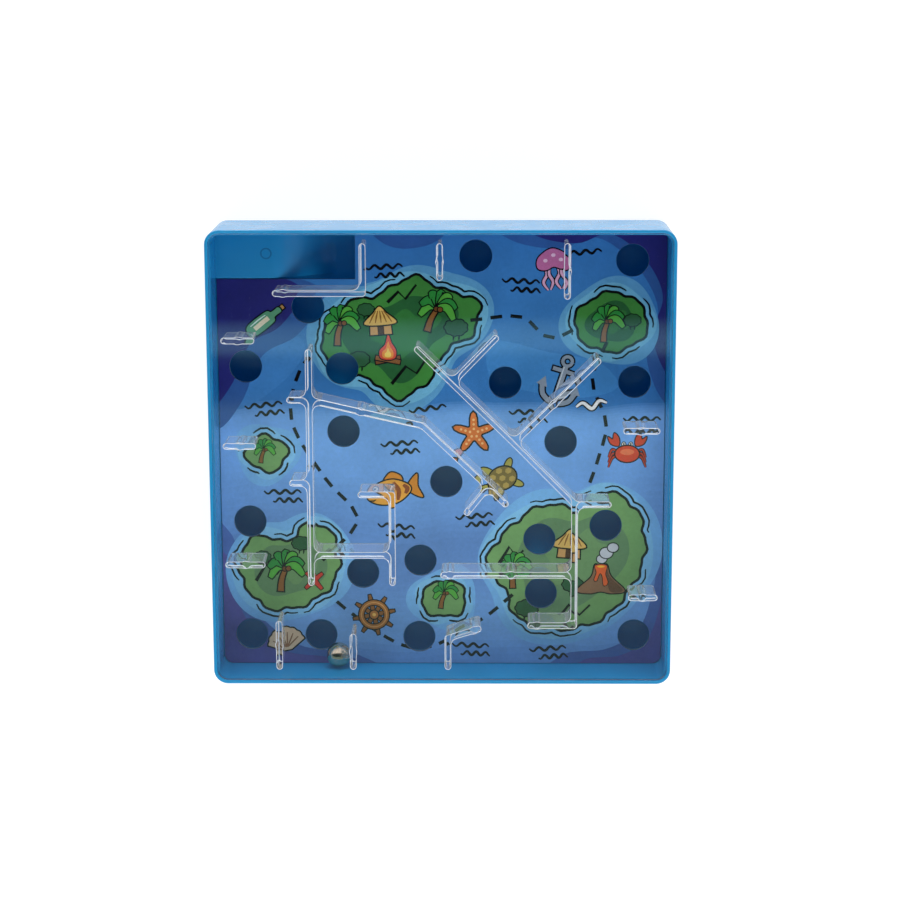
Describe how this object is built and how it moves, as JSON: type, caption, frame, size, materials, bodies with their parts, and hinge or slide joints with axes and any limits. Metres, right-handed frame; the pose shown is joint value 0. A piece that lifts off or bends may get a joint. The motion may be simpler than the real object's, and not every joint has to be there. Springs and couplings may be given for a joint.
{
  "type": "dexterity puzzle",
  "caption": "Square hand-held ball maze: open tray with a holed, printed card over a return gallery and ramp, under a clear cover with hanging maze walls and a steel ball.",
  "frame": {"origin": "centre of the tray's base, on the surface that it lies on", "axes": "+Z out through the clear cover, +X to the right and +Y up as the printed card is read"},
  "size_m": [0.128, 0.128, 0.0255],
  "materials": {
    "tray_plastic": "moulded, satin gloss",
    "printed_card": "printed and varnished paperboard",
    "clear_plastic": "clear, moulded and polished",
    "steel": "polished"
  },
  "bodies": {
    "case": {"tray": "tray_plastic", "card_posts": "tray_plastic", "return_ramp": "tray_plastic", "game_card": "printed_card", "cover_sheet": "clear_plastic", "start_wall": "clear_plastic", "top_stub_left": "clear_plastic", "top_stub_right": "clear_plastic", "left_stub_upper": "clear_plastic", "left_stub_middle": "clear_plastic", "left_stub_lower": "clear_plastic", "right_stub_upper": "clear_plastic", "right_stub_lower": "clear_plastic", "bottom_stub_left": "clear_plastic", "bottom_stub_right": "clear_plastic", "bottom_hook": "clear_plastic", "west_wall": "clear_plastic", "east_wall": "clear_plastic"},
    "ball": {"steel_ball": "steel"}
  },
  "joints": [
    {"name": "ball_roll", "type": "slide", "parent": "case", "child": "ball", "axis": [1, 0, 0], "range_m": [-0.0116, 0]}
  ]
}
